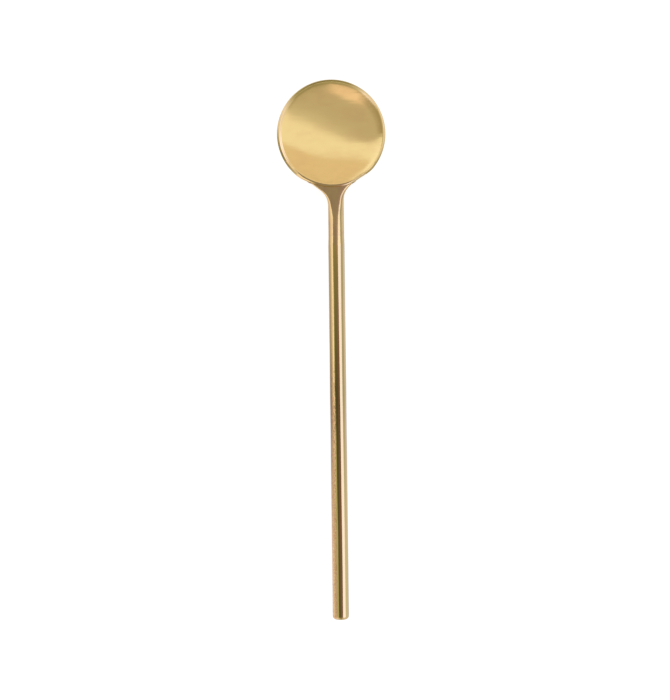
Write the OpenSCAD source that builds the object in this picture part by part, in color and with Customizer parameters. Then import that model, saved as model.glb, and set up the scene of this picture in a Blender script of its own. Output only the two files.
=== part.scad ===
// Bar spoon: a round, shallow brass dish on a long round rod.
// The dish, a forged neck and the rod are brazed together. They lie along Y, with the dish
// at +Y and facing up, and rest on z = 0. Millimetres throughout.
// "reach" is a distance from the middle of the dish towards the free end of the rod.

/* [Overall] */
// Tip of the dish to the free end of the rod
overall_length = 165; // [145:1:220]
// Diameter over the rim of the dish
bowl_d = 33.1; // [32:0.1:35]
// Diameter of the rod
rod_d = 5; // [4.9:0.1:5.6]
// How far the rod's axis sits to the right of the middle of the dish
bowl_offset = 1.2; // [0:0.1:1.6]

/* [Dish] */
// Thickness of metal under the middle of the dish
floor_t = 1.5; // [1.2:0.1:1.7]
// Radius of the rounded rim
bead_r = 0.8; // [0.7:0.05:0.9]
// How much is flattened off the underside, where the dish rests
foot_sag = 0.2; // [0.1:0.05:0.3]

/* [Neck] */
// Diameter of the neck where it is round
shank_d = 4.8; // [4.4:0.1:4.8]
// Edge of the dish to the joint with the rod
neck_l = 14.7; // [13:0.1:20]
// Angle at which the left edge flares out
flare_left = 33; // [28:1:34]
// Angle at which the right edge flares out
flare_right = 33; // [28:1:34]
// Radius between each flared edge and the round part
flare_fillet = 5.3; // [4:0.1:6]
// How far the pad under the dish reaches in from the dish's edge
pad_l = 5.5; // [4.5:0.1:7]
// How far the underside lifts from the round part to the pad
keel_rise = 1.65; // [1.4:0.05:1.9]
// Squareness of the flat face's left edge, where 2 is round
crisp_left = 5; // [3:0.5:6]
// Squareness of the flat face's right edge
crisp_right = 2.8; // [2:0.2:4]

/* [Joints] */
// Thickness of the brazing filler under the dish
bowl_film = 0.15; // [0.1:0.01:0.2]
// Diameter of the tenon on the neck
tenon_d = 2.8; // [2.4:0.1:3]
// Length of the tenon
tenon_l = 6; // [4:0.5:9]
// Thickness of the brazing filler round the tenon
tenon_film = 0.1; // [0.06:0.01:0.15]
// Gap left past the end of the tenon
socket_gap = 0.6; // [0.3:0.1:1]

/* [Rod ends] */
// Length over which the rod is dressed down to meet the neck
dress_l = 3; // [1:0.5:5]
// Radius round the edge of the free end
end_round = 1.1; // [0.8:0.1:1.6]
// Radius of the shallow dome on the free end
end_dome_r = 10; // [4:0.5:12]

/* [Hidden] */
$fn = 180;

bowl_r = bowl_d / 2;
rod_r = rod_d / 2;
shank_r = shank_d / 2;
tenon_r = tenon_d / 2;
socket_r = tenon_r + tenon_film;
rim_z = rod_d;
face_drop = 0.05; // the neck's flat face, below the crest of the rim
bowl_y = overall_length / 2 - bowl_r;
rod_end_y = -overall_length / 2;
joint_y = bowl_y - bowl_r - neck_l;
clear = 1; // how far cutting shapes run past what they cut
ARC_STEPS = 10; // straight pieces in a long arc of a section
SHORT_STEPS = 3; // straight pieces in a short one

// The dish's half section is made of three arcs, each with a centre at
// [distance from axis, height]. The rim's bead touches the hollow's circle from outside
bead_c = [bowl_r - bead_r, rim_z - bead_r];
hollow_h = rim_z - floor_t;
hollow_r = (pow(bead_c[0], 2) + pow(hollow_h, 2)) / (2 * hollow_h) - bead_r;
hollow_c = [0, floor_t + hollow_r];
// and the underside's circle from inside
under_h = bead_c[1] + foot_sag;
under_r = (pow(under_h, 2) + pow(bead_c[0], 2) - pow(bead_r, 2)) / (2 * (under_h - bead_r));
under_c = [0, under_r - foot_sag];
foot_r = sqrt(pow(under_r, 2) - pow(under_c[1], 2));
touch_turn = bearing(under_c, bead_c);

// The free end's round touches its dome from inside
end_c = [rod_r - end_round, 0];
dome_c = [0, -sqrt(pow(end_dome_r - end_round, 2) - pow(end_c[0], 2))];
straight_end = joint_y - rod_end_y - dome_c[1] - end_dome_r;

// The neck is lofted through rounded sections from the pad's tip to where it is round
SECTIONS = 24;
POINTS = 40;
pad_tip = bowl_r - pad_l;
round_reach = 26;
flare_inset = 0.15; // the flared edges touch a circle this far inside the rim
keel_start = 26; // reach at which the underside begins to lift
lift_start = 24; // reach at which the widest line begins to lift to the rim
lift_end = 15.5; // reach at which it has arrived
edge_bury = 0.6; // depth of the pad's edge inside the wall of the dish
TIP_SHARE = 0.1; // width left at the pad's tip, as a share of its full width

// Direction from a to b, in degrees
function bearing(a, b) = atan2(b[1] - a[1], b[0] - a[0]);

// Points along an arc round c, from one direction to another
function arc(c, r, from, to, steps) = [
  for (i = [0:steps])
    let (t = from + (to - from) * i / steps)
    c + r * [cos(t), sin(t)]
];

// 0 before t = 0, 1 after t = 1, and smooth between
function ease(t) =
  let (u = min(1, max(0, t)))
  u * u * (3 - 2 * u);

// Height of the dish's underside at distance r from its axis
function under_z(r) = under_c[1] - sqrt(under_r * under_r - r * r);

// How far the neck's outline is from the middle of the dish, on one side:
// an arc into the round part, a straight flare, and a closing curve under the dish
function outline(reach, side, flare) =
  let (
    straight = shank_r + side * bowl_offset,
    arc_x = straight + flare_fillet,
    touch_r = bowl_r - flare_inset,
    arc_reach = (touch_r + flare_fillet - sin(flare) * arc_x) / cos(flare),
    flare_reach = arc_reach - flare_fillet * cos(flare),
    touch_reach = touch_r * cos(flare),
    closing = (touch_reach - reach) / (touch_reach - pad_tip)
  )
  reach >= arc_reach ? straight
  : reach >= flare_reach
    ? arc_x - sqrt(pow(flare_fillet, 2) - pow(arc_reach - reach, 2))
  : reach >= touch_reach ? (touch_r - reach * cos(flare)) / sin(flare)
  : side * bowl_offset
    + (touch_r * sin(flare) - side * bowl_offset) * max(TIP_SHARE, sqrt(max(0, 1 - closing * closing)));

// Height of the section's widest point
function widest_z(reach, half) =
  let (
    lifted = rod_r + (bead_c[1] - rod_r) * ease((lift_start - reach) / (lift_start - lift_end)),
    r = norm([half, reach])
  )
  r < bowl_r ? min(lifted, under_z(r) + edge_bury) : lifted;

function keel_z(reach) =
  rod_r - shank_r + keel_rise * ease((keel_start - reach) / (keel_start - pad_tip));

function top_z(reach) =
  rod_r + shank_r + (rim_z - face_drop - rod_r - shank_r)
    * ease((lift_start - reach) / (lift_start - lift_end));

// Squareness of the section's top on one side, which is round at round_reach
function top_power(reach, side) =
  2 + ((side > 0 ? crisp_right : crisp_left) - 2) * ease((round_reach - reach) / (round_reach - bowl_r));

// One point of a section, turning from the right side over the top
function section_point(reach, turn) =
  let (
    side = cos(turn) >= 0 ? 1 : -1,
    half = outline(reach, side, side > 0 ? flare_right : flare_left),
    mid = widest_z(reach, half),
    above = sin(turn) >= 0,
    power = above ? top_power(reach, side) : 2,
    size = pow(pow(abs(cos(turn)), power) + pow(abs(sin(turn)), power), -1 / power),
    height = above ? top_z(reach) - mid : mid - keel_z(reach),
    width = half - side * bowl_offset
  )
  [
    bowl_offset + width * size * cos(turn),
    -reach,
    mid + height * size * sin(turn)
  ];

module at_bowl() {
  translate([0, bowl_y, 0]) children();
}

// Along the rod's axis, with z = 0 of the children at y and pointing to the free end
module along_rod(y) {
  translate([bowl_offset, y, rod_r]) rotate([90, 0, 0]) children();
}

// Outside of the dish's half section, grown by film: underside and bead
function outside_points(film = 0) = concat(
  arc(under_c, under_r + film, bearing(under_c, [foot_r, 0]), touch_turn, ARC_STEPS),
  arc(bead_c, bead_r + film, touch_turn, 90, ARC_STEPS)
);

module bowl_section() {
  crest = bearing(bead_c, hollow_c);
  polygon(concat(
    [[0, 0]],
    outside_points(),
    arc(bead_c, bead_r, 90, crest, SHORT_STEPS),
    arc(hollow_c, hollow_r, crest - 180, -90, ARC_STEPS)
  ));
}

// All the room that the dish takes, grown outwards by film, and the space above it
module dish_room(film = 0) {
  outside = outside_points(film);
  at_bowl() rotate_extrude()
    polygon(concat(
      [[0, outside[0][1]]],
      outside,
      [[bead_c[0], 2 * rim_z], [0, 2 * rim_z]]
    ));
}

// Outside of the neck, from inside the wall of the dish to the shoulder at the joint
module neck_outside() {
  step = (round_reach - pad_tip) / (SECTIONS - 2);
  reaches = [
    for (i = [0:SECTIONS - 2]) pad_tip + i * step,
    bowl_y - joint_y - tenon_film,
  ];
  points = [
    for (reach = reaches, k = [0:POINTS - 1]) section_point(reach, 360 * (k + 0.5) / POINTS)
  ];
  sides = [
    for (i = [0:SECTIONS - 2], k = [0:POINTS - 1])
      let (
        a = i * POINTS + k,
        b = i * POINTS + (k + 1) % POINTS
      )
      each [[a, b + POINTS, b], [a, a + POINTS, b + POINTS]]
  ];
  last = (SECTIONS - 1) * POINTS;
  tip = [for (k = [0:POINTS - 1]) k];
  shoulder = [for (k = [0:POINTS - 1]) last + POINTS - 1 - k];
  at_bowl() polyhedron(points, concat(sides, [tip, shoulder]));
}

module bowl() {
  color("gold")
    at_bowl() rotate_extrude() bowl_section();
}

module neck() {
  color("goldenrod") {
    difference() {
      neck_outside();
      dish_room(bowl_film);
    }
    along_rod(joint_y + tenon_film + shank_r / 2)
      cylinder(r = tenon_r, h = tenon_l + tenon_film + shank_r / 2);
  }
}

module bowl_braze() {
  color("khaki")
    intersection() {
      neck_outside();
      difference() {
        dish_room(bowl_film);
        dish_room();
      }
    }
}

// Half section of the rod, as [distance from its axis, distance from the joint]
module rod_section() {
  dome_edge = bearing(dome_c, end_c);
  lift = [0, straight_end];
  polygon(concat(
    [[0, 0], [shank_r, 0], [rod_r, dress_l]],
    arc(end_c + lift, end_round, 0, dome_edge, ARC_STEPS),
    arc(dome_c + lift, end_dome_r, dome_edge, 90, SHORT_STEPS)
  ));
}

module handle_rod() {
  color("gold") along_rod(joint_y) rotate_extrude() difference() {
    rod_section();
    square([socket_r, tenon_l + socket_gap]);
  }
}

module rod_braze() {
  color("khaki") difference() {
    union() {
      along_rod(joint_y + tenon_film) cylinder(r = shank_r, h = tenon_film);
      along_rod(joint_y) cylinder(r = socket_r, h = tenon_l);
    }
    along_rod(joint_y + clear) cylinder(r = tenon_r, h = tenon_l + 2 * clear);
  }
}

bowl();
neck();
bowl_braze();
handle_rod();
rod_braze();
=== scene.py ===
"""Looks of a small brass bar spoon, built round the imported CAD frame.

The shapes are worked out in millimetres, in the frame's own axes: +Y runs from the free end of
the rod towards the dish and +Z points up out of the dish. Meshes are stored in metres.
"""

import math

import bpy
import numpy as np
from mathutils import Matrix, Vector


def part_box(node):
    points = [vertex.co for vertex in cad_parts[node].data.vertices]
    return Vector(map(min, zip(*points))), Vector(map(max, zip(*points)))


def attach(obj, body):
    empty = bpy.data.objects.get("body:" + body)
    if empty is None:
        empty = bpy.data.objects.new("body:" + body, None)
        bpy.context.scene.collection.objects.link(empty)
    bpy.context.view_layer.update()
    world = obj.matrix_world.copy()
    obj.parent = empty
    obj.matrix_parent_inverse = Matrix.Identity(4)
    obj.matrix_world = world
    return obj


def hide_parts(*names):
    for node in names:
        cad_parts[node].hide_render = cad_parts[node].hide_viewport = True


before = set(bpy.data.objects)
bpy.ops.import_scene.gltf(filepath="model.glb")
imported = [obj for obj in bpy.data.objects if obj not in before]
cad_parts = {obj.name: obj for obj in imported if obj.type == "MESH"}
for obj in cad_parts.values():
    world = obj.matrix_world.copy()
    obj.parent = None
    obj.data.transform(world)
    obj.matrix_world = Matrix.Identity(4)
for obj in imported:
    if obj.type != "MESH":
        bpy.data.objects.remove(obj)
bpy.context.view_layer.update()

# ---------------------------------------------------------------- sizes, in mm

MM = 0.001
TINY = 0.001  # keeps what is divided by off zero


def box_mm(node):
    low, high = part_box(node)
    return np.array(low) / MM, np.array(high) / MM


bowl_low, bowl_high = box_mm("bowl")
rod_low, rod_high = box_mm("handle_rod")
neck_low, _ = box_mm("neck")

BOWL_R = (bowl_high[0] - bowl_low[0]) / 2
BOWL_Y = (bowl_high[1] + bowl_low[1]) / 2
RIM_Z = bowl_high[2]
ROD_R = (rod_high[2] - rod_low[2]) / 2
ROD_X = (rod_high[0] + rod_low[0]) / 2
JOINT_Y = rod_high[1]
ROD_L = rod_high[1] - rod_low[1]
TENON_L = JOINT_Y - neck_low[1]

# Dish
FLOOR_T = 1.5  # metal under its middle
BEAD_R = 0.8  # rounded rim
FOOT_SAG = 0.2  # how much is flattened off the underside
LIP_SHIFT = (0.28, 0.14)  # how far the hollow sits off the middle
LIP_WANDER = 0.25  # how unevenly, as a share of that
HOLLOW_FADE = 3.5  # width inside the rim over which the hollow's waves fade in
LONG_WAVE = 0.03  # depths of those waves
SHORT_WAVE = 0.008

# Neck. Reach is the distance from the dish's axis towards the rod
SHANK_R = 2.4  # of its round part
FACE_DROP = 0.05  # the flat face, below the crest of the rim
FLARE = math.radians(33)  # turn from the rod at which the edge leaves the rim
FLARE_FILLET = 5.3  # radius between the shank and the flare
FLARE_INSET = 0.15  # the flare's edge, inside the rim
PAD_TIP = BOWL_R - 5.5  # reach of the end of the pad under the dish
PAD_LEAST = 0.01  # keeps the pad from closing to nothing at its tip
KEEL_RISE = 1.65  # how far the underside climbs towards the dish
KEEL_START = 26.0  # reach at which it starts to
CRISP_LEFT = 5.0  # squareness of the flat face's edges, where 2 is round
CRISP_RIGHT = 2.8
ROUND_POWER = 2.0
ROUND_REACH = 26.0  # reach from which the neck is round
LIFT_START = 24.0  # reaches between which its sides and top lift to the rim
LIFT_END = 15.5
EDGE_BURY = 0.6  # how deep the pad's edge lies in the dish's underside

# Joints and rod
BOWL_FILM = 0.15  # filler between the dish and the neck
TENON_R = 1.4
TENON_ROOT = 0.05  # bevels at its root and its end
TENON_BEVEL = 0.2
SHOULDER_RING_R = SHANK_R - 0.5  # rings that keep the flat faces beside them flat in shading
TENON_RING_R = 0.4
TENON_FILM = 0.1  # filler round the tenon and on its shoulder
SOCKET_GAP = 0.6  # past the tenon's end
SOCKET_BEVEL = (0.3, 0.1)
DRESS_L = 3.0  # length over which the rod is dressed down to the neck
END_ROUND = 1.1  # rounding round the free end
END_DOME_R = 10.0  # and the dome across it
DIP = 0.012  # mean depth of the hollows that handling has left in the rod
DIP_FADE = 6.0  # length over which they fade in below the dressed part

# Where the rim and the neck's edges are filed in: turn from the rod, reach in turn, depth, and
# the distance from the dish's axis where it starts
FILED = [
    (math.radians(32.5), math.radians(18), 0.42, 15.3),
    (math.radians(-24), math.radians(16), 0.28, 15.2),
]
FILED_TO = BOWL_R + 4
FILED_FADE = 3.0

# Fineness of the meshes: steps along each stretch, and columns round each piece
SCAN_STEPS = 600  # in the search for where the neck meets the dish, which then halves the step
HALVINGS = 30
FOOT_STEPS = 11
UNDER_STEPS = 60
BEAD_STEPS = 40
HOLLOW_STEPS = 110
DISH_COLUMNS = 320
NECK_STEPS = (15, 130)  # near the dish and beyond
NECK_FINE = 0.12  # share of the neck's length that counts as near
NECK_COLUMNS = 192
SEAT_STEPS = 10
FILM_STEPS = 4
SIDE_STEPS = 299
ROUND_STEPS = 14
DOME_STEPS = 12
ROD_COLUMNS = 160
FILLER_COLUMNS = 128
SHARP_ANGLE = math.radians(40)

# ---------------------------------------------------------------- plane geometry


def bearing(a, b):
    """Direction from one point to another."""
    return math.atan2(b[1] - a[1], b[0] - a[0])


def arc(centre, radius, start, end, steps):
    """Points on a circle between two directions, both ends included."""
    turn = np.linspace(start, end, steps + 1)
    return np.stack([centre[0] + radius * np.cos(turn), centre[1] + radius * np.sin(turn)], 1)


def ramp(value, start, end):
    """Smooth step from 0 at start to 1 at end, which may be the lower of the two."""
    t = np.clip((value - start) / (end - start), 0, 1)
    return t * t * (3 - 2 * t)


# The dish's half section is made of three arcs, each with a centre at (distance from axis,
# height). The rim's bead touches the hollow's circle from outside and the underside's from inside
bead_c = (BOWL_R - BEAD_R, RIM_Z - BEAD_R)
hollow_h = RIM_Z - FLOOR_T
hollow_r = (bead_c[0] ** 2 + hollow_h**2) / (2 * hollow_h) - BEAD_R
hollow_c = (0.0, FLOOR_T + hollow_r)
under_h = bead_c[1] + FOOT_SAG
under_r = (under_h**2 + bead_c[0] ** 2 - BEAD_R**2) / (2 * (under_h - BEAD_R))
under_c = (0.0, under_r - FOOT_SAG)
foot_r = math.sqrt(under_r**2 - under_c[1] ** 2)
foot_turn = bearing(under_c, (foot_r, 0.0))
touch_turn = bearing(under_c, bead_c)
touch_along = under_r * (touch_turn - foot_turn)


def under_height(r):
    """Height of the dish's underside at a distance from its axis."""
    return under_c[1] - np.sqrt(under_r**2 - np.minimum(r, BOWL_R) ** 2)


# ---------------------------------------------------------------- mesh helpers


def ripples(points, wavelength, seed, waves=9):
    """Smooth seeded noise of about -1 to 1 at the points, from a sum of plane waves."""
    rng = np.random.default_rng(seed)
    total = np.zeros(points.shape[:-1])
    for _ in range(waves):
        direction = rng.normal(size=3)
        direction *= 2 * math.pi / (np.linalg.norm(direction) * wavelength * rng.uniform(0.7, 1.4))
        total += np.sin(points @ direction + rng.uniform(0, 2 * math.pi))
    return total / math.sqrt(waves)


def filed(points):
    """The points, pulled in a little where the rim and the neck's edges are filed."""
    x, y = points[..., 0], BOWL_Y - points[..., 1]
    r = np.maximum(np.hypot(x, y), TINY)
    share = 1.0
    for turn, width, depth, start in FILED:
        near = ramp(np.abs(np.arctan2(x, y) - turn), width, 0)
        edge = ramp(r, start, BOWL_R) * ramp(r, FILED_TO, FILED_TO - FILED_FADE)
        share = share - depth * near * edge / r
    return np.stack([x * share, BOWL_Y - y * share, points[..., 2]], -1)


def make_piece(name, points, faces, material, node):
    """A shown piece of the spoon, from points in mm. It stands for one CAD node."""
    mesh = bpy.data.meshes.new(name)
    mesh.from_pydata((np.asarray(points) * MM).tolist(), [], [list(f) for f in faces])
    mesh.validate()
    mesh.update()
    mesh.shade_smooth()
    mesh.set_sharp_from_angle(angle=SHARP_ANGLE)
    mesh.materials.append(material)
    piece = bpy.data.objects.new(name, mesh)
    bpy.context.scene.collection.objects.link(piece)
    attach(piece, "root")
    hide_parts(node)


def grid_faces(rows, columns, start=0, closed=True):
    """Quads over rows of points, each row following the last; closed rows join end to end."""
    last = columns if closed else columns - 1
    faces = []
    for i in range(rows - 1):
        for k in range(last):
            a = start + i * columns + k
            b = start + i * columns + (k + 1) % columns
            faces.append((a, b, b + columns, a + columns))
    return faces


def revolve(section, count, place):
    """Points and faces of a half section turned about its axis, on which it starts and ends."""
    inner = section[1:-1]
    turn = np.arange(count) * 2 * math.pi / count
    rings = place(inner[:, :1], turn[None, :], inner[:, 1:] + 0 * turn[None, :])
    points = rings.reshape(-1, 3)
    ends = [place(np.zeros(1), np.zeros(1), section[i, 1:]) for i in (0, -1)]
    first, last = len(points), len(points) + 1
    faces = grid_faces(len(inner), count)
    top = (len(inner) - 1) * count
    for k in range(count):
        faces.append((first, (k + 1) % count, k))
        faces.append((last, top + k, top + (k + 1) % count))
    return np.concatenate([points, *[e.reshape(1, 3) for e in ends]]), faces


def round_dish(r, turn, z):
    """Place for revolve: turned about the dish's upright axis."""
    return np.stack([r * np.cos(turn), BOWL_Y + r * np.sin(turn), z + 0 * r], -1)


def round_rod(r, turn, along):
    """Place for revolve: turned about the rod's axis, with along measured from the joint."""
    return np.stack([ROD_X + r * np.cos(turn), JOINT_Y - along + 0 * r, ROD_R + r * np.sin(turn)], -1)


# ---------------------------------------------------------------- dish


def dish_section():
    """Half section: the foot, the underside, round the rim and down the hollow."""
    inner = bearing(bead_c, hollow_c)
    foot = np.linspace(0, foot_r, FOOT_STEPS, endpoint=False)
    return np.concatenate([
        np.stack([foot, np.zeros(FOOT_STEPS)], 1),
        arc(under_c, under_r, foot_turn, touch_turn, UNDER_STEPS),
        arc(bead_c, BEAD_R, touch_turn, inner, BEAD_STEPS)[1:],
        arc(hollow_c, hollow_r, inner - math.pi, -math.pi / 2, HOLLOW_STEPS)[1:],
    ])


def build_dish(material):
    """The pressed dish. Its hollow sits a little off the middle, and waves slightly."""
    points, faces = revolve(dish_section(), DISH_COLUMNS, round_dish)
    r = np.hypot(points[:, 0], points[:, 1] - BOWL_Y)
    upper = (points[:, 2] > bead_c[1]) | (points[:, 2] > under_height(r) + FLOOR_T / 2)
    lip = ramp(r, BOWL_R, BOWL_R - BEAD_R) * upper
    wander = 1 + LIP_WANDER * ripples(points, wavelength=22, seed=13)
    points[:, :2] += (lip * wander)[:, None] * np.array(LIP_SHIFT)
    hollow = ramp(r, bead_c[0], bead_c[0] - HOLLOW_FADE) * upper
    waves = LONG_WAVE * ripples(points, wavelength=17, seed=11)
    waves += SHORT_WAVE * ripples(points, wavelength=6, seed=12)
    points[:, 2] += hollow * waves
    make_piece("dish", filed(points), faces, material, "bowl")


# ---------------------------------------------------------------- neck


def outline(reach, side):
    """Distance from the middle line of the dish to the neck's edge on one side."""
    straight = SHANK_R + side * ROD_X
    arc_x = straight + FLARE_FILLET
    touch_r = BOWL_R - FLARE_INSET
    arc_reach = (touch_r + FLARE_FILLET - math.sin(FLARE) * arc_x) / math.cos(FLARE)
    flare_reach = arc_reach - FLARE_FILLET * math.cos(FLARE)
    touch_reach = touch_r * math.cos(FLARE)
    closing = (touch_reach - reach) / (touch_reach - PAD_TIP)
    middle = side * ROD_X
    pad = touch_r * math.sin(FLARE) - middle
    under = middle + pad * np.sqrt(np.maximum(PAD_LEAST, 1 - closing**2))
    flared = (touch_r - reach * math.cos(FLARE)) / math.sin(FLARE)
    rounded = arc_x - np.sqrt(FLARE_FILLET**2 - np.clip(arc_reach - reach, 0, FLARE_FILLET) ** 2)
    return np.where(
        reach >= arc_reach, straight,
        np.where(reach >= flare_reach, rounded, np.where(reach >= touch_reach, flared, under)),
    )


def neck_surface(reach, turn):
    """Points of the neck's outside: reach is measured from the dish's axis, turn round the rod's."""
    side = np.where(np.cos(turn) >= 0, 1.0, -1.0)
    half = np.where(side > 0, outline(reach, 1), outline(reach, -1))
    lift = ramp(reach, LIFT_START, LIFT_END)
    lifted = ROD_R + (bead_c[1] - ROD_R) * lift
    r = np.hypot(half, reach)
    mid = np.where(r < BOWL_R, np.minimum(lifted, under_height(r) + EDGE_BURY), lifted)
    top = ROD_R + SHANK_R + (RIM_Z - FACE_DROP - ROD_R - SHANK_R) * lift
    keel = ROD_R - SHANK_R + KEEL_RISE * ramp(reach, KEEL_START, PAD_TIP)
    above = np.sin(turn) >= 0
    crisp = np.where(side > 0, CRISP_RIGHT, CRISP_LEFT) - ROUND_POWER
    power = ROUND_POWER + np.where(above, crisp * ramp(reach, ROUND_REACH, BOWL_R), 0)
    across, up = np.abs(np.cos(turn)), np.abs(np.sin(turn))
    scale = (across**power + up**power) ** (-1 / power)
    height = np.where(above, top - mid, keel - mid)
    x = ROD_X + side * (half - side * ROD_X) * across * scale
    return np.stack([x, BOWL_Y - reach, mid + height * up * scale], -1)


def dish_gap(points, film):
    """Distance from points to the dish's outside grown by film; negative inside the dish's room."""
    r = np.hypot(points[..., 0], points[..., 1] - BOWL_Y)
    z = points[..., 2]
    under = np.hypot(r, z - under_c[1]) - under_r - film
    bead = np.hypot(r - bead_c[0], z - bead_c[1]) - BEAD_R - film
    turn = np.arctan2(z - bead_c[1], r - bead_c[0])
    inside = (r < bead_c[0]) & (z >= bead_c[1])
    return np.where(inside, -1.0, np.where((turn > touch_turn) & (turn <= math.pi / 2), bead, under))


def section_place(points):
    """For points on the dish's outside: turn about its axis, and distance along its section."""
    r = np.hypot(points[..., 0], points[..., 1] - BOWL_Y)
    z = points[..., 2]
    azimuth = np.arctan2(points[..., 0], BOWL_Y - points[..., 1])
    under_turn = np.arctan2(z - under_c[1], r)
    bead_turn = np.arctan2(z - bead_c[1], r - bead_c[0])
    on_bead = (bead_turn > touch_turn) & (r > bead_c[0])
    along = np.where(
        on_bead, touch_along + BEAD_R * (bead_turn - touch_turn), under_r * (under_turn - foot_turn)
    )
    return azimuth, along


def section_point(azimuth, along, film):
    """The opposite of section_place, on the outside grown by film."""
    under_turn = foot_turn + along / under_r
    bead_turn = touch_turn + (along - touch_along) / BEAD_R
    on_bead = along > touch_along
    r = np.where(
        on_bead, bead_c[0] + (BEAD_R + film) * np.cos(bead_turn), (under_r + film) * np.cos(under_turn)
    )
    z = np.where(
        on_bead,
        bead_c[1] + (BEAD_R + film) * np.sin(bead_turn),
        under_c[1] + (under_r + film) * np.sin(under_turn),
    )
    return np.stack([r * np.sin(azimuth), BOWL_Y - r * np.cos(azimuth), z], -1)


neck_turn = np.arange(NECK_COLUMNS) * 2 * math.pi / NECK_COLUMNS
shoulder_reach = BOWL_Y - JOINT_Y - TENON_FILM


def neck_start():
    """The reach at which each column of the neck runs into the filler under the dish."""

    def runs_in(reach):
        return dish_gap(neck_surface(reach, neck_turn), BOWL_FILM) < 0

    scan = np.linspace(ROUND_REACH, PAD_TIP, SCAN_STEPS)
    first_in = np.argmax([runs_in(np.full(NECK_COLUMNS, reach)) for reach in scan], axis=0)
    far, near = scan[first_in - 1], scan[first_in]
    for _ in range(HALVINGS):
        middle = (far + near) / 2
        inside = runs_in(middle)
        far, near = np.where(inside, far, middle), np.where(inside, middle, near)
    return far


def seat_grid(loop, film):
    """Rows of points over the seat under the dish, between a closed loop's upper and lower side."""
    azimuth, along = section_place(loop)
    upper = np.arange(1, NECK_COLUMNS // 2)
    lower = NECK_COLUMNS - upper
    rows = []
    for i in range(1, SEAT_STEPS):
        t = i / SEAT_STEPS
        rows.append(section_point(
            azimuth[upper] * (1 - t) + azimuth[lower] * t,
            along[upper] * (1 - t) + along[lower] * t,
            film,
        ))
    return np.array(rows)


def seat_faces(loop_start, grid_start):
    """Faces that close a loop with its seat grid."""
    half = NECK_COLUMNS // 2
    inner = half - 1

    def at(row, k):
        if k == 0 or k == half or row == 0:
            return loop_start + k
        if row == SEAT_STEPS:
            return loop_start + NECK_COLUMNS - k
        return grid_start + (row - 1) * inner + k - 1

    faces = []
    for row in range(SEAT_STEPS):
        for k in range(half):
            face = [at(row, k), at(row + 1, k), at(row + 1, k + 1), at(row, k + 1)]
            face = [v for i, v in enumerate(face) if v not in face[:i]]
            if len(face) > 2:
                faces.append(face)
    return faces


def build_neck(material):
    """The forged neck and its tenon. Returns the loop of points where it meets the filler."""
    start = neck_start()
    near, far = NECK_STEPS
    share = np.concatenate([
        np.linspace(0, NECK_FINE, near, endpoint=False), np.linspace(NECK_FINE, 1, far),
    ])
    reach = start[None, :] + share[:, None] * (shoulder_reach - start[None, :])
    outside = neck_surface(reach, neck_turn[None, :])
    tenon_section = [
        (SHOULDER_RING_R, -TENON_FILM),
        (TENON_R + TENON_ROOT, -TENON_FILM),
        (TENON_R, TENON_ROOT - TENON_FILM),
        (TENON_R, TENON_L - TENON_BEVEL),
        (TENON_R - TENON_BEVEL, TENON_L),
        (TENON_RING_R, TENON_L),
    ]
    tenon = [round_rod(np.full(NECK_COLUMNS, r), neck_turn, along) for r, along in tenon_section]
    rows = np.concatenate([outside, np.array(tenon)])
    seat = seat_grid(outside[0], BOWL_FILM)
    points = np.concatenate([rows.reshape(-1, 3), seat.reshape(-1, 3)])
    seat_start = len(rows) * NECK_COLUMNS
    faces = grid_faces(len(rows), NECK_COLUMNS)
    faces.append(range(seat_start - NECK_COLUMNS, seat_start))
    faces += [face[::-1] for face in seat_faces(0, seat_start)]
    make_piece("neck_forging", filed(points), faces, material, "neck")
    return outside[0]


def build_bowl_braze(material, loop):
    """The film of filler between the dish and the neck's seat."""
    azimuth, along = section_place(loop)
    films = BOWL_FILM * np.linspace(1, 0, FILM_STEPS + 1)
    edge = np.array([section_point(azimuth, along, film) for film in films])
    outer = seat_grid(loop, BOWL_FILM)
    inner = seat_grid(loop, 0.0)
    points = np.concatenate([edge.reshape(-1, 3), outer.reshape(-1, 3), inner.reshape(-1, 3)])
    inner_loop = FILM_STEPS * NECK_COLUMNS
    outer_start = inner_loop + NECK_COLUMNS
    inner_start = outer_start + outer.shape[0] * outer.shape[1]
    faces = grid_faces(FILM_STEPS + 1, NECK_COLUMNS)
    faces += [face[::-1] for face in seat_faces(0, outer_start)]
    faces += seat_faces(inner_loop, inner_start)
    make_piece("dish_filler", filed(points), faces, material, "bowl_braze")


# ---------------------------------------------------------------- rod


def rod_section():
    """Half section as (distance from axis, distance from the joint), with its blind socket."""
    end_c = (ROD_R - END_ROUND, 0.0)
    dome_c = (0.0, -math.sqrt((END_DOME_R - END_ROUND) ** 2 - end_c[0] ** 2))
    straight_end = ROD_L - dome_c[1] - END_DOME_R
    dome_edge = bearing(dome_c, end_c)
    socket_r = TENON_R + TENON_FILM
    socket_end = TENON_L + SOCKET_GAP
    bevel_r, bevel_l = SOCKET_BEVEL
    side = np.linspace(DRESS_L, straight_end, SIDE_STEPS, endpoint=False)
    return np.concatenate([
        [(0, socket_end), (socket_r - bevel_r, socket_end), (socket_r, socket_end - bevel_l)],
        [(socket_r, 0), (SHANK_R, 0)],
        np.stack([np.full(SIDE_STEPS, ROD_R), side], 1),
        arc((end_c[0], straight_end), END_ROUND, 0, dome_edge, ROUND_STEPS),
        arc((0.0, dome_c[1] + straight_end), END_DOME_R, dome_edge, math.pi / 2, DOME_STEPS)[1:],
    ])


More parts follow.
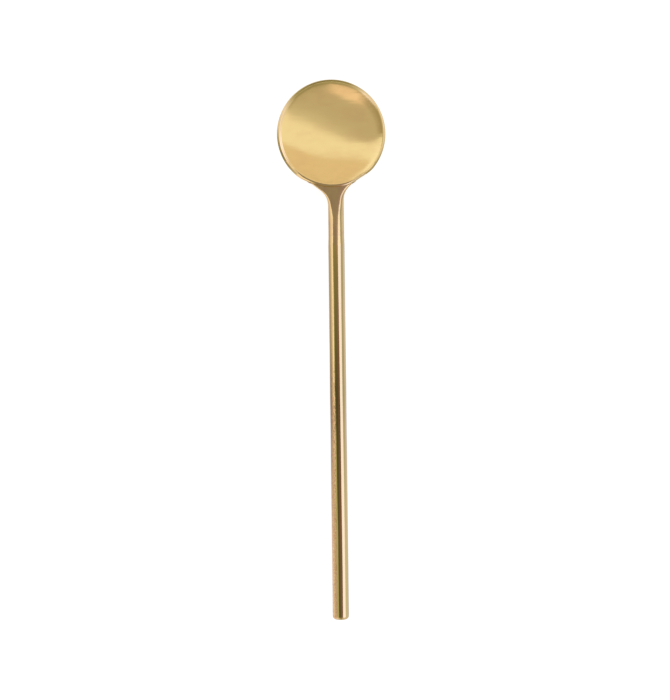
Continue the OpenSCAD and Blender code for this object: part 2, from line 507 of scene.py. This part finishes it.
def build_rod(material):
    """The drawn rod, with shallow hollows in its outside."""
    points, faces = revolve(rod_section(), ROD_COLUMNS, round_rod)
    across = (points[:, [0, 2]] - (ROD_X, ROD_R)) / ROD_R
    skin = ramp(np.hypot(*across.T), 0.9, 0.95)  # leaves out the socket and the end's middle
    dressed = JOINT_Y - DRESS_L
    free = ramp(points[:, 1], dressed, dressed - DIP_FADE)
    hollows = 1 + np.clip(ripples(points, wavelength=14, seed=21), -1, 1)
    points[:, [0, 2]] -= across * (DIP * hollows * skin * free)[:, None]
    make_piece("rod", points, faces, material, "handle_rod")


def build_rod_braze(material):
    """The filler round the tenon and on its shoulder: a closed section turned about the rod."""
    socket_r = TENON_R + TENON_FILM
    section = [
        (TENON_R, -TENON_FILM), (SHANK_R, -TENON_FILM), (SHANK_R, 0.0),
        (socket_r, 0.0), (socket_r, TENON_L), (TENON_R, TENON_L),
    ]
    turn = np.arange(FILLER_COLUMNS) * 2 * math.pi / FILLER_COLUMNS
    rows = [round_rod(np.full(FILLER_COLUMNS, r), turn, along) for r, along in section]
    points = np.array(rows).reshape(-1, 3)
    faces = []
    for face in grid_faces(len(section) + 1, FILLER_COLUMNS):
        faces.append([v % len(points) for v in face])
    make_piece("rod_filler", points, faces, material, "rod_braze")


# ---------------------------------------------------------------- materials

BRASS = (0.93, 0.70, 0.31)


class Finish:
    """A metal material whose detail is worked out from places on the piece, in mm."""

    def __init__(self, name, color, tarnish_and_painted_tint, roughness):
        self.material = bpy.data.materials.new(name)
        self.material.use_nodes = True
        self.tree = self.material.node_tree
        self.shader = self.tree.nodes["Principled BSDF"]
        self.shader.inputs["Metallic"].default_value = 1
        self.color = color
        self.tarnish_and_painted_tint = tarnish_and_painted_tint
        self.roughness = roughness
        self.normal = None
        coordinates = self.tree.nodes.new("ShaderNodeTexCoord")
        self.place = self.scaled(coordinates.outputs["Object"], (1 / MM,) * 3)

    def link(self, source, target):
        """Feeds a socket from another, or sets it to a number."""
        if isinstance(source, (int, float)):
            target.default_value = source
        else:
            self.tree.links.new(source, target)

    def scaled(self, source, scale, shift=(0, 0, 0)):
        """A place, multiplied by a scale and then moved."""
        mapping = self.tree.nodes.new("ShaderNodeMapping")
        mapping.inputs["Scale"].default_value = scale
        mapping.inputs["Location"].default_value = shift
        self.link(source, mapping.inputs["Vector"])
        return mapping.outputs["Vector"]

    def noise(self, size, detail=3, twist=0.0, shift=0.0):
        """Noise of 0 to 1 with features of this size in mm along x, y and z."""
        node = self.tree.nodes.new("ShaderNodeTexNoise")
        node.inputs["Scale"].default_value = 1
        node.inputs["Detail"].default_value = detail
        node.inputs["Distortion"].default_value = twist
        spread = self.scaled(self.place, [1 / s for s in size], (shift, shift, shift))
        self.link(spread, node.inputs["Vector"])
        return node.outputs["Fac"]

    def pits(self, size, depth_share, shift=0.0):
        """Small round pits: 1 between them and 0 at the middle of each."""
        node = self.tree.nodes.new("ShaderNodeTexVoronoi")
        node.inputs["Scale"].default_value = 1 / size
        self.link(self.scaled(self.place, (1, 1, 1), (shift, shift, shift)), node.inputs["Vector"])
        return self.remap(node.outputs["Distance"], 0.0, depth_share)

    def axis(self, name):
        """The place along X, Y or Z."""
        node = self.tree.nodes.new("ShaderNodeSeparateXYZ")
        self.link(self.place, node.inputs["Vector"])
        return node.outputs[name]

    def remap(self, source, low, high, to_low=0.0, to_high=1.0):
        """Turns low to high into to_low to to_high, smoothly and without overshoot."""
        node = self.tree.nodes.new("ShaderNodeMapRange")
        node.interpolation_type = "SMOOTHSTEP"
        keys = ("Value", "From Min", "From Max", "To Min", "To Max")
        for key, value in zip(keys, (source, low, high, to_low, to_high)):
            self.link(value, node.inputs[key])
        return node.outputs["Result"]

    def math(self, operation, a, b):
        node = self.tree.nodes.new("ShaderNodeMath")
        node.operation = operation
        self.link(a, node.inputs[0])
        self.link(b, node.inputs[1])
        return node.outputs["Value"]

    def times(self, a, b):
        return self.math("MULTIPLY", a, b)

    def plus(self, a, b):
        return self.math("ADD", a, b)

    def stain_and_painted_tint(self, amount):
        """Mixes the second colour in by an amount of 0 to 1 at each place: a stain, or on the rod a
        painted reflection.
        """
        mix = self.tree.nodes.new("ShaderNodeMix")
        mix.data_type = "RGBA"
        mix.inputs["A"].default_value = (*self.color, 1)
        mix.inputs["B"].default_value = (*self.tarnish_and_painted_tint, 1)
        self.link(amount, mix.inputs["Factor"])
        self.link(mix.outputs["Result"], self.shader.inputs["Base Color"])

    def haze(self, amount):
        """Roughness, from its plain value up by the amount at each place."""
        self.link(self.plus(amount, self.roughness), self.shader.inputs["Roughness"])

    def relief(self, height, depth_mm):
        """Adds a bump on top of those before it. Its height of 0 to 1 stands for a depth in mm."""
        bump = self.tree.nodes.new("ShaderNodeBump")
        bump.inputs["Strength"].default_value = 1
        bump.inputs["Distance"].default_value = depth_mm * MM
        self.link(height, bump.inputs["Height"])
        if self.normal is not None:
            self.link(self.normal, bump.inputs["Normal"])
        self.normal = bump.outputs["Normal"]
        self.link(self.normal, self.shader.inputs["Normal"])


def dish_finish():
    """Buffed bright across its width, with haze and hairlines."""
    finish = Finish("dish_brass", BRASS, (0.86, 0.60, 0.27), 0.08)
    cloud = finish.noise((7, 4, 7), detail=4, shift=3.1)
    buffing = finish.noise((14, 0.9, 14), detail=3, shift=7.7)
    hairline = finish.noise((5, 0.22, 5), detail=2, twist=0.6, shift=1.3)
    grain = finish.noise((0.5, 0.5, 0.5), detail=2, shift=5.9)
    finish.stain_and_painted_tint(finish.remap(cloud, 0.42, 0.75, 0.0, 0.45))
    worn = finish.times(finish.remap(cloud, 0.3, 0.7), 0.07)
    finish.haze(finish.plus(worn, finish.times(finish.remap(hairline, 0.6, 0.8), 0.08)))
    finish.relief(buffing, 0.012)
    finish.relief(hairline, 0.0016)
    finish.relief(grain, 0.0008)
    return finish.material


def neck_finish():
    """Forged and filed by hand: shallow dents, and file marks along its length."""
    finish = Finish("neck_brass", BRASS, (0.80, 0.52, 0.28), 0.12)
    dents = finish.noise((2.6, 3.4, 2.6), detail=2, shift=2.3)
    filing = finish.noise((0.28, 6, 0.28), detail=3, shift=8.4)
    specks = finish.pits(0.9, 0.2, shift=0.4)
    finish.stain_and_painted_tint(finish.remap(dents, 0.4, 0.75, 0.05, 0.55))
    finish.haze(finish.times(finish.remap(filing, 0.45, 0.8), 0.1))
    finish.relief(dents, 0.03)
    finish.relief(filing, 0.0025)
    finish.relief(specks, 0.002)
    return finish.material


def rod_finish():
    """Drawn rod: lines along it, and on its lower left a pitted, crazed patch whose orange mottling is
    a painted reflection in its colour.
    """
    finish = Finish("rod_brass", BRASS, (0.78, 0.47, 0.23), 0.08)
    drawing = finish.noise((0.25, 30, 0.25), detail=3, shift=4.2)
    sway = finish.noise((3, 16, 3), detail=1, shift=9.3)
    craze = finish.noise((0.9, 1.1, 0.9), detail=1.5, twist=1.8, shift=6.1)
    pits = finish.pits(0.8, 0.28, shift=2.9)
    left = finish.remap(finish.axis("X"), ROD_X - 0.75, ROD_X - 1.25)
    lower = finish.remap(finish.axis("Y"), 2.0, -22.0, 0.12, 1.0)
    pits_and_painted_reflection = finish.times(left, lower)
    swell = finish.plus(craze, -0.5)
    lines = finish.math("ABSOLUTE", swell, 0)
    # Painted reflection: orange-brown mottling along the crazed lines of the lower left patch stands
    # in for orange light reflected in its pits. The pits and crazing themselves are real bumps and
    # haze below.
    finish.stain_and_painted_tint(finish.times(pits_and_painted_reflection, finish.remap(lines, 0.02, 0.07, 0.0, 0.95)))
    scored = finish.times(finish.remap(drawing, 0.5, 0.8), 0.07)
    finish.haze(finish.plus(scored, finish.times(pits_and_painted_reflection, 0.05)))
    finish.relief(sway, 0.05)
    finish.relief(drawing, 0.0015)
    finish.relief(finish.times(swell, pits_and_painted_reflection), 0.13)
    finish.relief(finish.times(pits, pits_and_painted_reflection), 0.012)
    return finish.material


def filler_finish():
    """Brazing filler, a little paler and grainier than the brass beside it."""
    finish = Finish("filler", (0.93, 0.72, 0.35), (0.80, 0.58, 0.28), 0.1)
    grain = finish.noise((0.35, 0.35, 0.35), detail=4, shift=3.7)
    flow = finish.noise((1.6, 1.6, 1.6), detail=2, shift=1.9)
    finish.stain_and_painted_tint(finish.remap(flow, 0.4, 0.7, 0.0, 0.4))
    finish.haze(finish.times(grain, 0.1))
    finish.relief(grain, 0.004)
    return finish.material


dish_brass = dish_finish()
neck_brass = neck_finish()
rod_brass = rod_finish()
filler = filler_finish()

# ---------------------------------------------------------------- the spoon

build_dish(dish_brass)
seat_loop = build_neck(neck_brass)
build_bowl_braze(filler, seat_loop)
build_rod(rod_brass)
build_rod_braze(filler)

# ---------------------------------------------------------------- floor, lights and camera


def stage_mesh(name, corners, faces, material):
    """A mesh that stands round the spoon and is no part of it, from corners in metres."""
    mesh = bpy.data.meshes.new(name)
    mesh.from_pydata([tuple(c) for c in corners], [], faces)
    mesh.materials.append(material)
    made = bpy.data.objects.new(name, mesh)
    bpy.context.scene.collection.objects.link(made)
    return made


def diffuse(name, color, glow=0.0):
    """A matt material without highlights, which may glow white."""
    material = bpy.data.materials.new(name)
    material.use_nodes = True
    shader = material.node_tree.nodes["Principled BSDF"]
    shader.inputs["Base Color"].default_value = (*color, 1)
    shader.inputs["Roughness"].default_value = 0.9
    shader.inputs["Specular IOR Level"].default_value = 0
    shader.inputs["Emission Color"].default_value = (1, 1, 1, 1)
    shader.inputs["Emission Strength"].default_value = glow
    return material


FLOOR_HALF = 20.0
FLOOR_GAP = 0.0002


def plane(name, z, material):
    corners = [(x * FLOOR_HALF, y * FLOOR_HALF, z) for x, y in ((-1, -1), (1, -1), (1, 1), (-1, 1))]
    return stage_mesh(name, corners, [(0, 1, 2, 3)], material)


# The floor that is seen, and just under it the darker one that the metal reflects
floor = plane("floor", 0.0, diffuse("pale_floor", (0.35, 0.35, 0.35), glow=0.78))
floor.visible_glossy = False
mirror_floor = plane("floor_tone", -FLOOR_GAP, diffuse("floor_tone", (0.55, 0.55, 0.52)))
mirror_floor.visible_camera = False
mirror_floor.visible_diffuse = False


def card(name, points, faces, glow):
    """A glowing card that only polished metal sees, with its tone given at each point."""
    material = bpy.data.materials.new(name)
    material.use_nodes = True
    tree = material.node_tree
    tree.nodes.clear()
    output = tree.nodes.new("ShaderNodeOutputMaterial")
    light = tree.nodes.new("ShaderNodeEmission")
    tone = tree.nodes.new("ShaderNodeAttribute")
    tone.attribute_name = "tone"
    tree.links.new(tone.outputs["Color"], light.inputs["Color"])
    tree.links.new(light.outputs["Emission"], output.inputs["Surface"])
    made = stage_mesh(name, points, faces, material)
    tones = made.data.attributes.new("tone", "FLOAT_COLOR", "POINT")
    for point, color in zip(tones.data, glow):
        point.color = [*color, 1]
    made.visible_camera = False
    made.visible_diffuse = False
    made.visible_shadow = False


# Bands of light round the rod: each has a colour, and at four places along the rod its tone and
# the angle in degrees where it starts, from straight up towards +X
BAND_STOPS = (-64, -15, 27, 34)
BANDS = [
    ("edge", (0.95, 1.03, 1.05), (0.52, 0.5, 0.53, 0.53), (-165, -165, -165, -165)),
    ("rust", (1.02, 1.0, 1.14), (0.86, 0.33, 0.48, 0.5), (-130, -128, -126, -126)),
    ("strip", (1.12, 1.0, 1.05), (0.6, 0.58, 0.74, 0.8), (-94, -91, -89, -89)),
    ("left", (1.05, 1.0, 1.12), (0.52, 1.0, 1.02, 1.0), (-68, -68, -70, -68)),
    ("olive", (0.95, 1.0, 0.65), (0.5, 0.42, 0.46, 0.42), (-46, -50, -52, -50)),
    ("dark", (1.0, 0.98, 0.62), (0.11, 0.08, 0.225, 0.27), (-27, -38, -44, -46)),
    ("brown", (1.25, 0.8, 0.75), (0.16, 0.12, 0.26, 0.33), (2, -2, 3, 2)),
    ("window", (0.95, 1.0, 1.6), (1.14, 1.1, 1.08, 1.1), (31, 25, 19, 19)),
    ("right", (0.93, 0.97, 1.02), (0.66, 0.42, 0.46, 0.46), (72, 60, 58, 58)),
    ("outer", (1.0, 1.0, 1.25), (0.62, 0.6, 0.66, 0.62), (98, 96, 94, 94)),
]
BANDS_END = 165
TUNNEL_Y = (-135, 34)  # its two ends, and its radius there
TUNNEL_R = (72, 22)

# The same round the neck, where the flat face sees calm dark tones
NECK_STOPS = (34, 40, 45)
NECK_BANDS = [
    ("edge", (0.98, 1.0, 1.15), (0.52, 0.5, 0.54), (-165, -165, -165)),
    ("rust", (1.08, 0.97, 0.98), (0.52, 0.56, 0.72), (-126, -124, -120)),
    ("left", (1.05, 0.97, 1.05), (0.85, 0.92, 0.8), (-92, -90, -88)),
    ("line", (1.05, 1.0, 1.1), (1.02, 1.0, 0.9), (-66, -64, -62)),
    ("dark", (1.06, 0.95, 0.95), (0.24, 0.28, 0.275), (-48, -46, -46)),
    ("mauve", (1.15, 0.94, 1.15), (0.36, 0.37, 0.28), (4, 6, 14)),
    ("window", (1.0, 1.0, 1.35), (1.12, 1.12, 1.0), (19, 25, 32)),
    ("right", (0.95, 0.97, 0.98), (0.46, 0.44, 0.38), (58, 54, 51)),
    ("outer", (1.0, 1.0, 1.2), (0.62, 0.66, 0.7), (94, 84, 78)),
]
NECK_TUNNEL_Y = (34, 56.5)
NECK_TUNNEL_R = (22, 19)

BAND_POINTS = 13  # across each band
FLOOR_REACH = ROD_R - 0.05  # from the rod's axis down to just above the floor


def tunnel(name, bands, stops, span, radii):
    """A tapered tube of light round the rod, flat along the floor, with one card for each band."""
    places = np.unique([span[0], *stops, span[1]])
    radius = np.interp(places, span, radii)
    for i, (band, color, tones, starts) in enumerate(bands):
        ends = bands[i + 1][3] if i + 1 < len(bands) else (BANDS_END,) * len(stops)
        points, glow = [], []
        for y, r in zip(places, radius):
            tone = np.interp(y, stops, tones)
            first, last = np.interp(y, stops, starts), np.interp(y, stops, ends)
            for a in np.radians(np.linspace(first, last, BAND_POINTS)):
                reach = min(r, FLOOR_REACH / max(-math.cos(a), TINY))
                points.append((ROD_X + reach * math.sin(a), y, ROD_R + reach * math.cos(a)))
                glow.append([tone * c for c in color])
        faces = grid_faces(len(places), BAND_POINTS, closed=False)
        card(f"{name}_{band}", np.array(points) * MM, faces, glow)


tunnel("rod", BANDS, BAND_STOPS, TUNNEL_Y, TUNNEL_R)
tunnel("neck", NECK_BANDS, NECK_STOPS, NECK_TUNNEL_Y, NECK_TUNNEL_R)

# The ceiling that the dish sees, as a grid of tones, in metres. In the dish, the ceiling's +X is
# seen on the left and its -Y at the tip
CEILING_Z = 1.0
CEILING_HALF = 1.6
CEILING_POINTS = 200
DARK = np.array((0.555, 0.525, 0.47))
BRIGHT = np.array((0.94, 0.94, 0.92))
TAN = np.array((0.79, 0.70, 0.61))
PEACH = np.array((0.94, 0.79, 0.75))
GLARE = np.array((1.03, 1.06, 1.12))
FAR = np.array((0.36, 0.32, 0.23))
# The line over which dark turns to bright, how softly it does, and the line from bright to tan
SHADE_X = (-1.3, -1.0, -0.85, -0.68, -0.42, -0.2, 0.0, 0.2, 0.4, 0.66, 1.0, 1.6)
SHADE_Y = (0.2, 0.37, 0.43, 0.41, 0.35, 0.26, 0.19, 0.08, -0.01, -0.09, -0.27, -0.5)
SOFT_X = (-0.6, -0.3, 0.1, 0.6)
SOFT_HALF = (0.03, 0.06, 0.14, 0.16)
TAN_X = (-1.3, -0.68, -0.4, 0.0, 0.4, 0.68, 1.3)
TAN_Y = (1.1, 0.8, 0.66, 0.61, 0.57, 0.5, 0.46)
TAN_HALF = 0.07
HINT = 0.3  # how far some of the bright spreads into the dark, and how much of it
RIM_Y = 0.26  # the rim reflects rings about this place
PEACH_PLACE = (0.08, -0.68)
PEACH_WAY = (0.924, 0.383)  # the direction that it runs in, towards -X and +Y
SPOT_PLACE = (-0.72, -0.55)


def ceiling_tones(x, y):
    """Colour at each place. The ramps say where each tone starts and where it is full."""
    soft = np.interp(x, SOFT_X, SOFT_HALF)
    shade = np.interp(x, SHADE_X, SHADE_Y)
    tan_edge = np.interp(x, TAN_X, TAN_Y)
    rim = np.hypot(x, y - RIM_Y)
    bright = ramp(y, shade - soft, shade + soft)
    bright = np.maximum(bright, HINT * ramp(y, shade - HINT, shade) * ramp(x, -0.5, -0.1))
    tan = ramp(y, tan_edge - TAN_HALF, tan_edge + TAN_HALF) * bright
    far = ramp(x + 2 * y, 0.6, 0.0) * ramp(y, 0.42, 0.22) * ramp(rim, 0.86, 1.14)
    glare = ramp(rim - 0.32 * y, 0.7, 0.78) * ramp(x, -0.3, -0.6) * ramp(y, 0.45, 0.6)
    left, up = PEACH_PLACE[0] - x, y - PEACH_PLACE[1]
    along = left * PEACH_WAY[0] + up * PEACH_WAY[1]
    across = left * PEACH_WAY[1] - up * PEACH_WAY[0]
    peach = ramp(np.abs(along - 0.4), 0.495, 0.165) * ramp(np.abs(across - 0.04), 0.192, 0.072)
    spot = ramp(np.hypot(x - SPOT_PLACE[0], y - SPOT_PLACE[1]), 0.064, 0.024)
    tone = DARK + (BRIGHT - DARK) * bright[..., None]
    tone = tone + (TAN - BRIGHT) * tan[..., None]
    for over, share in ((FAR, far), (GLARE, glare), (PEACH, np.maximum(peach, spot))):
        tone = tone + (over - tone) * share[..., None]
    return tone


ceiling_steps = np.linspace(-CEILING_HALF, CEILING_HALF, CEILING_POINTS)
ceiling_x, ceiling_y = np.meshgrid(ceiling_steps, ceiling_steps)
ceiling = np.stack([ceiling_x, ceiling_y, np.full(ceiling_x.shape, CEILING_Z)], -1)
card(
    "ceiling", ceiling.reshape(-1, 3), grid_faces(CEILING_POINTS, CEILING_POINTS, closed=False),
    ceiling_tones(ceiling_x, ceiling_y).reshape(-1, 3),
)

# A ring on the horizon, in metres, with a tone for each direction from +Y round through +X
RING_R = 1.6
RING_Z = (-0.1, 1.0)
RING = [
    (0.72, 0.64, 0.52), (0.8, 0.74, 0.6), (0.98, 0.9, 0.9), (0.9, 0.8, 0.9),
    (0.22, 0.22, 0.1), (1.05, 0.98, 1.2), (0.6, 0.55, 0.5), (1.05, 1.06, 1.1),
]


def horizon_ring():
    points, glow = [], []
    for z in RING_Z:
        for i, tone in enumerate(RING):
            a = 2 * math.pi * i / len(RING)
            points.append((RING_R * math.sin(a), RING_R * math.cos(a), z))
            glow.append(tone)
    card("horizon", points, grid_faces(len(RING_Z), len(RING)), glow)


horizon_ring()

# A low collar round the dish, open towards the neck, which only the rim sees. Angles are in
# degrees from +Y towards +X, and the tones are for the rim's outer edge, its middle and its crest
COLLAR_R = 20.0
COLLAR_LEVELS = (0.1, 4.6, 5.2, 10.0, 12.0, 26.0)
COLLAR = [
    (-138, 0.6, 0.6, 0.6),
    (-125, 0.25, 0.38, 0.95),
    (-112, 0.18, 0.27, 1.15),
    (-98, 0.25, 0.42, 1.3),
    (-80, 0.65, 0.8, 1.0),
    (-60, 0.85, 0.9, 0.95),
    (-40, 0.65, 0.38, 0.3),
    (-20, 0.48, 0.24, 0.2),
    (0, 0.4, 0.25, 0.2),
    (20, 0.45, 0.3, 0.26),
    (40, 0.65, 0.85, 0.95),
    (60, 0.8, 0.9, 0.8),
    (80, 0.75, 0.95, 1.0),
    (100, 0.65, 0.75, 0.8),
    (120, 0.35, 0.5, 0.8),
    (140, 0.32, 0.45, 0.7),
]


def rim_light(tone):
    """Warm where it is dim and cool where it is bright."""
    return tone * 1.02, tone, tone * (0.4 + 0.95 * tone)


def collar():
    points, glow = [], []
    for level, z in enumerate(COLLAR_LEVELS):
        for angle, *tones in COLLAR:
            a = math.radians(angle)
            points.append((COLLAR_R * math.sin(a), BOWL_Y + COLLAR_R * math.cos(a), z))
            glow.append(rim_light(tones[level // 2]))
    faces = grid_faces(len(COLLAR_LEVELS), len(COLLAR), closed=False)
    card("collar", np.array(points) * MM, faces, glow)


collar()

# A strip low over the rim, which only the rim's inner side sees: angle as before, and tone
CREST_Z = 8.0
CREST_R = (12.6, 15.9)
CREST = [
    (-122, 0.85), (-104, 1.2), (-94, 1.2), (-80, 0.95), (-62, 0.8), (-50, 0.6), (-42, 0.36),
    (-20, 0.32), (0, 0.38), (20, 0.44), (31, 0.62), (40, 0.98), (54, 0.85), (62, 0.45),
]


def crest():
    points, glow = [], []
    for r in CREST_R:
        for angle, tone in CREST:
            a = math.radians(angle)
            points.append((r * math.sin(a), BOWL_Y + r * math.cos(a), CREST_Z))
            glow.append(rim_light(tone))
    faces = grid_faces(len(CREST_R), len(CREST), closed=False)
    card("crest", np.array(points) * MM, faces, glow)


crest()

# A patch on the floor beyond the rod, which only its free end sees: place across, and tone
END_Y = (-100.0, -82.6)
END_TONES = [
    (-9.0, (1.0, 0.86, 1.05)), (-3.0, (0.92, 0.78, 0.92)), (-0.8, (0.42, 0.42, 0.26)),
    (1.0, (0.45, 0.44, 0.28)), (3.5, (0.7, 0.6, 0.64)), (9.0, (0.8, 0.7, 0.75)),
]


def end_patch():
    points, glow = [], []
    for y in END_Y:
        for x, tone in END_TONES:
            points.append((ROD_X + x, y, ROD_R - FLOOR_REACH))
            glow.append(tone)
    faces = grid_faces(len(END_Y), len(END_TONES), closed=False)
    card("rod_end", np.array(points) * MM, faces, glow)


end_patch()

world = bpy.data.worlds.new("studio")
world.use_nodes = True
world.node_tree.nodes["Background"].inputs["Color"].default_value = (1, 1, 1, 1)
world.node_tree.nodes["Background"].inputs["Strength"].default_value = 1.0
bpy.context.scene.world = world

bpy.context.scene.view_settings.view_transform = "Standard"
bpy.context.scene.view_settings.look = "None"

FIELD_MM = 214.25  # height of the frame where the spoon lies
CAMERA_D = 0.5  # distance above the rod's axis, in metres
CAMERA_X = 0.377  # middle of the frame, in mm
CAMERA_ROLL = 0.012  # sideways for each unit along
SENSOR_MM = 36.0
camera_data = bpy.data.cameras.new("camera")
camera = bpy.data.objects.new("camera", camera_data)
bpy.context.scene.collection.objects.link(camera)
camera_data.sensor_width = SENSOR_MM
camera_data.lens = SENSOR_MM * CAMERA_D / (FIELD_MM * MM)
camera_data.clip_start = 0.01
camera_data.clip_end = 60
camera.location = (CAMERA_X * MM, 0, CAMERA_D + ROD_R * MM)
camera.rotation_euler = (0, 0, -math.atan(CAMERA_ROLL))
bpy.context.scene.camera = camera
